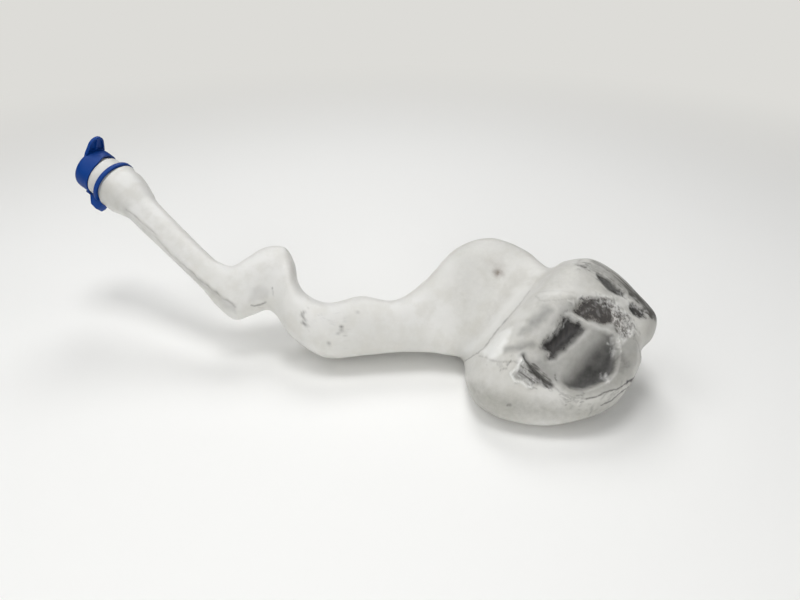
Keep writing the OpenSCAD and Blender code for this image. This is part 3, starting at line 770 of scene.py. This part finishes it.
def make_ring():
    at = neck_frame()
    lean = Matrix.Rotation(RING_LEAN_TURN, 4, "Z") @ Matrix.Rotation(-RING_LEAN, 4, "Y")
    edge = 0.9 * MM
    low, high = -RING_H / 2, RING_H / 2
    corners = [(RING_BORE_R, low), (RING_R, low), (RING_R, high), (RING_BORE_R, high)]
    profile = []
    for k in range(4):
        profile += fillet(corners[k - 1], corners[k], corners[(k + 1) % 4], edge)
    ring = revolve("retaining_ring", profile, lean, 128)

    lug_in = NECK_R + 2 * CLEAR
    lug = radial_plate("lug", [
        (lug_in, LUG_FOOT), (LUG_REACH - RING_H, LUG_FOOT), (LUG_REACH, FLANGE_H),
        (LUG_REACH - STRAP_T, RING_H), (HINGE_R + BARREL_R, LUG_TOP), (lug_in, LUG_TOP)], LUG_W, 0.0)
    across = Matrix.Rotation(pi / 2, 4, "Z") @ Matrix.Rotation(pi / 2, 4, "X")
    keep = prism("taper", [
        (-LUG_W / 2, LUG_FOOT - CLEAR), (LUG_W / 2, LUG_FOOT - CLEAR), (LUG_W / 2, RING_H),
        (STRAP_W / 2, LUG_TOP + CLEAR), (-STRAP_W / 2, LUG_TOP + CLEAR), (-LUG_W / 2, RING_H)],
        0, 2 * LUG_REACH, across)
    boolean(lug, keep, "INTERSECT")
    soften(lug, 0.6 * MM)
    lug.data.transform(Matrix.Rotation(HINGE_TURN, 4, "Z"))
    boolean(ring, lug, "UNION")
    bore = revolve("bore", [(0, -RING_H), (RING_BORE_R, -RING_H), (RING_BORE_R, RING_H), (0, RING_H)],
                   lean, 128)
    boolean(ring, bore, "DIFFERENCE")
    seat_r = FLANGE_R + CLEAR
    seat = revolve("seat", [(0, 2 * LUG_FOOT), (seat_r, 2 * LUG_FOOT), (seat_r, FLANGE_H + CLEAR),
                            (0, FLANGE_H + CLEAR)])
    boolean(ring, seat, "DIFFERENCE")
    ring.data.transform(at)
    shade_smooth(ring)
    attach(ring, "cap_ring")
    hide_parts("cap_ring")
    return ring


def cap_profile():
    """Half of the cap's section: skirt, seat, plug and rounded top."""
    arc = [(CAP_R - CAP_FILLET + CAP_FILLET * cos(t), CAP_TOP - CAP_FILLET + CAP_FILLET * sin(t))
           for t in np.linspace(0, pi / 2, 10)]
    rim = rounded([(SKIRT_BORE_R, BAND_H + CAP_WALL), (SKIRT_BORE_R, BAND_H), (CAP_R, BAND_H), arc[0]],
                  [0, 0.5 * MM, 0.6 * MM, 0])
    under = rounded([(SKIRT_BORE_R, BAND_H + CAP_WALL), (SKIRT_BORE_R, SEAT_H), (PLUG_R, SEAT_H),
                     (PLUG_IN, PLUG_TIP), (PLUG_IN - CAP_WALL, PLUG_TIP), (PLUG_IN, CAP_TOP - CAP_WALL),
                     (0, CAP_TOP - CAP_WALL)],
                    [0, 0.4 * MM, 0.4 * MM, 0.5 * MM, 0.5 * MM, 0.8 * MM, 0])
    return rim[1:-1] + arc + [(0, CAP_TOP)] + under[::-1][:-1]


def tab_outline(inset, steps=28):
    """The tab narrows from its root to a round tip."""
    tip_r = TAB_TIP_SHARE * TAB_W - inset
    middle = TAB_REACH - TAB_TIP_SHARE * TAB_W
    root_half = TAB_ROOT_SHARE * TAB_W - inset
    root_x = CAP_R - CAP_WALL
    arc = [(middle + tip_r * cos(t), tip_r * sin(t)) for t in np.linspace(-1.25, 1.25, steps)]
    return [(PLUG_R, -root_half), (root_x, -root_half)] + arc + [(root_x, root_half), (PLUG_R, root_half)]


def make_tab():
    """The pull tab: a rounded plate with a rim round its hollow underside and one rib along its middle."""
    tab = prism("tab", tab_outline(0), 0, TAB_T, Matrix(), 0.7 * MM)
    hollow = prism("hollow", tab_outline(CAP_WALL), -MM, TAB_T / 2)
    half = CAP_WALL / 2
    rib = prism("rib", [(0, -half), (TAB_REACH, -half), (TAB_REACH, half), (0, half)], -2 * MM, TAB_T)
    body = revolve("body", [(0, -2 * MM), (CAP_R + half, -2 * MM), (CAP_R + half, TAB_T), (0, TAB_T)])
    boolean(hollow, rib, "DIFFERENCE")
    boolean(hollow, body, "DIFFERENCE")
    boolean(tab, hollow, "DIFFERENCE")
    lift = (Matrix.Translation((CAP_R, 0, TAB_LOW + TAB_RAISE))
            @ Matrix.Rotation(TAB_LIFT_SHARE * TAB_LIFT, 4, "Y") @ Matrix.Translation((-CAP_R, 0, 0)))
    tab.data.transform(Matrix.Rotation(TAB_TURN, 4, "Z") @ lift)
    return tab


def shorten_skirt(cap):
    """Cuts the skirt's end back on the side away from the hinge, where the photographed cap sits askew."""
    for vertex in cap.data.vertices:
        x, y, z = vertex.co
        share = 1 - (z - BAND_H) / SKIRT_CUT_REACH
        if 0 < share < 1.1 and hypot(x, y) > SKIRT_BORE_R - 0.5 * MM:
            away = smooth(0.1, 1.0, cos(atan2(y, x) - SKIRT_CUT_TURN))
            vertex.co.z += SKIRT_CUT * away * min(share, 1)


def make_cap():
    cap = revolve("snap_cap", cap_profile(), steps=144)
    boolean(cap, make_tab(), "UNION")
    strap = radial_plate("strap", [
        (HINGE_R - BARREL_R, HINGE_H), (HINGE_R + BARREL_R, HINGE_H),
        (HINGE_R + BARREL_R, BAND_H + 2 * STRAP_T), (CAP_R - CAP_WALL / 2, BAND_H + 3 * STRAP_T),
        (CAP_R - CAP_WALL / 2, BAND_H)], STRAP_W, 0.3 * MM)
    strap.data.transform(Matrix.Rotation(HINGE_TURN, 4, "Z"))
    boolean(cap, strap, "UNION")
    shorten_skirt(cap)
    cap.data.transform(neck_frame())
    shade_smooth(cap)
    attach(cap, "filler_cap")
    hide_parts("filler_cap")
    return cap


class Shader:
    """A short way to write a material's nodes."""

    def __init__(self, name):
        self.material = bpy.data.materials.new(name)
        self.material.use_nodes = True
        self.tree = self.material.node_tree
        self.surface = self.tree.nodes["Principled BSDF"]
        self.position = self.node("ShaderNodeTexCoord").outputs["Object"]

    def node(self, kind, **values):
        made = self.tree.nodes.new(kind)
        for name, value in values.items():
            setattr(made, name, value)
        return made

    def feed(self, socket, value):
        if isinstance(value, bpy.types.NodeSocket):
            self.tree.links.new(value, socket)
        else:
            socket.default_value = value

    def fill(self, made, **values):
        """Feeds a node's inputs by their names, in which an underscore stands for a space."""
        for name, value in values.items():
            self.feed(made.inputs[name.replace("_", " ")], value)
        return made

    def set(self, **values):
        self.fill(self.surface, **values)

    def math(self, operation, *values):
        made = self.node("ShaderNodeMath", operation=operation)
        for socket, value in zip(made.inputs, values):
            self.feed(socket, value)
        return made.outputs[0]

    def times(self, a, b):
        return self.math("MULTIPLY", a, b)

    def ramp(self, value, low, high, to_low=0.0, to_high=1.0):
        made = self.node("ShaderNodeMapRange", interpolation_type="SMOOTHSTEP")
        for socket, given in zip(made.inputs, (value, low, high, to_low, to_high)):
            self.feed(socket, given)
        return made.outputs[0]

    def mix(self, factor, a, b):
        made = self.node("ShaderNodeMix", data_type="RGBA")
        self.feed(made.inputs["Factor"], factor)
        self.feed(made.inputs[6], a)
        self.feed(made.inputs[7], b)
        return made.outputs[2]

    def mask(self, name):
        return self.node("ShaderNodeAttribute", attribute_name=name).outputs["Fac"]

    def ragged(self, name, grain, middle, gain, low, high):
        """A mask whose edge is broken up by noise about its middle value."""
        swing = self.times(self.math("SUBTRACT", grain, middle), gain)
        return self.ramp(self.math("ADD", self.mask(name), swing), low, high)

    def grain(self, scale, detail=3.0, roughness=0.55, at=None):
        made = self.node("ShaderNodeTexNoise")
        self.fill(made, Vector=at or self.position, Scale=scale, Detail=detail, Roughness=roughness)
        return made.outputs["Fac"]

    def streaks(self, heading, scale, stretch):
        """Noise drawn out along a direction of the parting plane, turned from +X towards its top."""
        along = Vector(place(cos(heading), sin(heading), 0.0))
        across = Vector(place(-sin(heading), cos(heading), 0.0))
        turn = Matrix((along, across, along.cross(across))).transposed().to_euler()
        made = self.node("ShaderNodeMapping", vector_type="TEXTURE")
        self.fill(made, Vector=self.position, Rotation=turn, Scale=(stretch, 1.0, 1.0))
        return self.grain(scale, 4, 0.6, made.outputs[0])

    def bump(self, height, distance, strength=1.0, below=None):
        made = self.fill(self.node("ShaderNodeBump"), Height=height, Distance=distance, Strength=strength)
        if below:
            self.feed(made.inputs["Normal"], below)
        return made.outputs[0]


def rgb(red, green, blue):
    """A colour given as it looks on a screen, from 0 to 255, as the linear colour that a shader takes."""
    parts = [c / 255 for c in (red, green, blue)]
    return tuple(c / 12.92 if c <= 0.04045 else ((c + 0.055) / 1.055) ** 2.4 for c in parts) + (1.0,)


# Colours, as they look on a screen
MILK, MILK_DULL, MILK_WARM = rgb(230, 229, 225), rgb(222, 221, 216), rgb(213, 211, 204)
GREY_AND_SHADE, SMEAR_AND_SHADE, UMBER_AND_SHADE, STREAK_AND_SHADE = rgb(146, 145, 138), rgb(50, 49, 49), rgb(112, 96, 82), rgb(78, 76, 72)
SOOT, SOOT_PALE, SOOT_BROWN = rgb(50, 49, 49), rgb(68, 65, 63), rgb(94, 89, 86)
RUBBED_DARK, RUBBED_PALE = rgb(104, 100, 96), rgb(214, 212, 208)
SCRATCH, PALE = rgb(58, 56, 54), rgb(236, 236, 233)
BLUE, BLUE_PALE, BLUE_DUST = rgb(4, 56, 132), rgb(9, 63, 139), rgb(70, 100, 160)
TABLE, STUDIO, BACKGROUND = rgb(246, 246, 244), rgb(250, 250, 250), rgb(221, 220, 216)


def polyethylene():
    """Milky natural polyethylene with rubbed-in grime, grey smears, pale scuffs and thin dark scratches,
    and with painted shade and painted highlights laid in by the same masks.
    """
    s = Shader("natural polyethylene")
    cloudy = s.grain(14, 4)
    coarse = s.grain(220, 4, 0.65)
    fine = s.grain(700, 4, 0.7)
    swept = s.streaks(radians(-38), 330, 9)
    hatched = s.streaks(radians(78), 420, 5)
    mottle = s.ramp(coarse, 0.2, 0.8, 0.82, 1.14)

    colour = s.mix(s.ramp(cloudy, 0.35, 0.65), MILK, MILK_DULL)
    colour = s.mix(s.ramp(s.grain(48, 4, 0.6), 0.42, 0.66, 0.0, 0.55), colour, MILK_WARM)
    # A darker grey over the main tank, and painted shade on the bulb's underside
    colour = s.mix(s.times(s.mask("grey_and_shade"), mottle), colour, GREY_AND_SHADE)
    patchy = s.ramp(s.grain(120, 3), 0.25, 0.75, 0.92, 1.06)
    # Grey smears and grime, and painted shade where the mask marks it
    colour = s.mix(s.times(s.mask("smear_and_shade"), patchy), colour, SMEAR_AND_SHADE)
    # Rust-brown stains and grime, and painted shade in the elbow pocket
    blotchy = s.ramp(coarse, 0.3, 0.6, 0.7, 1.0)
    colour = s.mix(s.times(s.mask("umber_and_shade"), blotchy), colour, UMBER_AND_SHADE)

    mixed = s.math("ADD", s.times(s.math("ADD", fine, coarse), 0.7), s.times(swept, 0.8))
    soot = s.times(s.ragged("soot", mixed, 1.1, 2.2, 0.20, 0.75), s.ramp(s.mask("soot"), 0.0, 0.3))
    soot_colour = s.mix(s.ramp(hatched, 0.3, 0.7), SOOT, SOOT_PALE)
    soot_colour = s.mix(s.mask("umber_and_shade"), soot_colour, SOOT_BROWN)
    colour = s.mix(s.times(soot, 0.94), colour, soot_colour)

    # Dark streaks of grime, and painted shade along the lobe's top outline and the pad's groove
    streaked_and_shaded = s.times(s.ragged("streak_and_shade", swept, 0.5, 2.2, 0.30, 0.75),
                       s.ramp(s.mask("streak_and_shade"), 0.0, 0.35, 0.0, 0.85))
    colour = s.mix(streaked_and_shaded, colour, STREAK_AND_SHADE)

    speckled = s.math("ADD", s.times(s.grain(190, 6, 0.8), 0.78), s.times(hatched, 0.22))
    rubbed = s.times(s.ragged("scuff", coarse, 0.5, 1.6, 0.35, 0.85),
                     s.ramp(s.mask("scuff"), 0.0, 0.3, 0.0, 0.8))
    colour = s.mix(rubbed, colour, s.mix(s.ramp(speckled, 0.43, 0.56), RUBBED_DARK, RUBBED_PALE))
    colour = s.mix(s.times(s.mask("line"), mottle), colour, SCRATCH)
    # Pale scuffs, and painted highlights and reflection on lit faces and facets
    colour = s.mix(s.times(s.mask("pale"), mottle), colour, PALE)

    skin = s.bump(fine, 0.10 * MM, 0.25, s.bump(s.grain(60, 3), 0.5 * MM, 0.30))
    skin = s.bump(s.times(s.mask("scuff"), hatched), 0.3 * MM, 0.6, skin)
    roughness = s.math("ADD", s.ramp(cloudy, 0.3, 0.7, 0.40, 0.50), s.times(soot, 0.12))
    s.set(Base_Color=colour, Normal=skin, Roughness=roughness)
    s.set(Subsurface_Weight=0.6, Subsurface_Radius=(1.0, 0.98, 0.94), Subsurface_Scale=0.008,
          IOR=1.5, Specular_IOR_Level=0.35)
    return s.material


def polypropylene():
    """Satin blue polypropylene, a little dusty and finely scratched."""
    s = Shader("blue polypropylene")
    cloudy = s.grain(60, 3)
    fine = s.grain(1400, 3, 0.6)
    dust = s.ramp(s.grain(260, 5, 0.7), 0.55, 0.8)
    colour = s.mix(cloudy, BLUE, BLUE_PALE)
    colour = s.mix(s.times(dust, 0.08), colour, BLUE_DUST)
    s.set(Base_Color=colour, Roughness=s.ramp(fine, 0.3, 0.7, 0.42, 0.54),
          Normal=s.bump(fine, 0.05 * MM, 0.35, s.bump(cloudy, 0.2 * MM, 0.3)))
    s.set(IOR=1.49, Specular_IOR_Level=0.22)
    return s.material


# The table in metres: half its side, and how far from the object's middle it runs out into the background
TABLE_HALF = 6.0
OBJECT_MIDDLE = (-0.15, 0.0, 0.0)
FADE_FROM, FADE_TO = 0.55, 1.35


def make_floor():
    """A pale table top that keeps the object's shadow and runs out into the plain background."""
    half = TABLE_HALF
    floor = new_object("floor", [(-half, -half, 0), (half, -half, 0), (half, half, 0), (-half, half, 0)],
                       [(0, 1, 2, 3)])
    s = Shader("pale floor")
    s.set(Base_Color=TABLE, Roughness=0.6, Specular_IOR_Level=0.2)
    aside = s.node("ShaderNodeVectorMath", operation="DISTANCE")
    s.feed(aside.inputs[0], s.position)
    s.feed(aside.inputs[1], OBJECT_MIDDLE)
    paper = s.fill(s.node("ShaderNodeEmission"), Color=BACKGROUND)
    either = s.node("ShaderNodeMixShader")
    s.feed(either.inputs[0], s.times(s.ramp(aside.outputs["Value"], FADE_FROM, FADE_TO),
                                     s.node("ShaderNodeLightPath").outputs["Is Camera Ray"]))
    s.feed(either.inputs[1], s.surface.outputs[0])
    s.feed(either.inputs[2], paper.outputs[0])
    s.feed(s.tree.nodes["Material Output"].inputs["Surface"], either.outputs[0])
    floor.data.materials.append(s.material)


# The soft lamps: name, place in metres, size in metres and power in watts
LAMP_AIM = (-0.15, 0.05, 0.03)
LAMPS = [
    ("overhead", (-0.20, 0.06, 1.6), 0.6, 7.2),
    ("near overhead", (-0.15, -0.45, 1.9), 1.6, 3.4),
    ("front", (-0.10, -1.3, 0.8), 1.4, 3.7),
    ("low front", (-0.10, -1.2, 0.3), 0.9, 4.4),
    ("left front", (-1.3, -0.8, 1.2), 1.2, 4.4),
    ("left", (-1.1, 0.15, 1.4), 0.8, 4.9),
    ("right", (1.2, 0.0, 1.3), 1.2, 2.8),
    ("back", (-0.15, 1.3, 1.6), 0.9, 12.5)]


def add_lamp(name, at, size, power):
    lamp = bpy.data.lights.new(name, "AREA")
    lamp.shape, lamp.size, lamp.energy = "DISK", size, power
    obj = bpy.data.objects.new(name, lamp)
    obj.location = at
    obj.rotation_euler = (Vector(LAMP_AIM) - Vector(at)).to_track_quat("-Z", "Y").to_euler()
    bpy.context.scene.collection.objects.link(obj)


def make_lights():
    """Large soft lamps all round and overhead, and a plain world behind them."""
    for lamp in LAMPS:
        add_lamp(*lamp)
    world = bpy.data.worlds.new("studio")
    world.use_nodes = True
    nodes, links = world.node_tree.nodes, world.node_tree.links
    background = nodes["Background"]
    background.inputs["Color"].default_value = STUDIO
    background.inputs["Strength"].default_value = 0.02
    paper = nodes.new("ShaderNodeBackground")
    paper.inputs["Color"].default_value = BACKGROUND
    either = nodes.new("ShaderNodeMixShader")
    links.new(nodes.new("ShaderNodeLightPath").outputs["Is Camera Ray"], either.inputs[0])
    links.new(background.outputs[0], either.inputs[1])
    links.new(paper.outputs[0], either.inputs[2])
    links.new(either.outputs[0], nodes["World Output"].inputs["Surface"])
    bpy.context.scene.world = world


# The photograph's camera, fitted to the table, the cap and the tank's outline
CAMERA_AT = (-0.150, -0.500, 0.416)
CAMERA_TILT = radians(57.3)
LENS, SENSOR = 29.34, 36


def make_camera():
    camera = bpy.data.cameras.new("camera")
    camera.lens, camera.sensor_width = LENS, SENSOR
    camera.clip_start = 0.01
    obj = bpy.data.objects.new("camera", camera)
    obj.location = CAMERA_AT
    obj.rotation_euler = (CAMERA_TILT, 0, 0)
    bpy.context.scene.collection.objects.link(obj)
    bpy.context.scene.camera = obj


make_camera()
make_floor()
make_lights()
tank = make_tank()
ring = make_ring()
cap = make_cap()
tank.data.materials.clear()
tank.data.materials.append(polyethylene())
blue = polypropylene()
for piece in (ring, cap):
    piece.data.materials.clear()
    piece.data.materials.append(blue)

bpy.context.scene.view_settings.view_transform = "Standard"
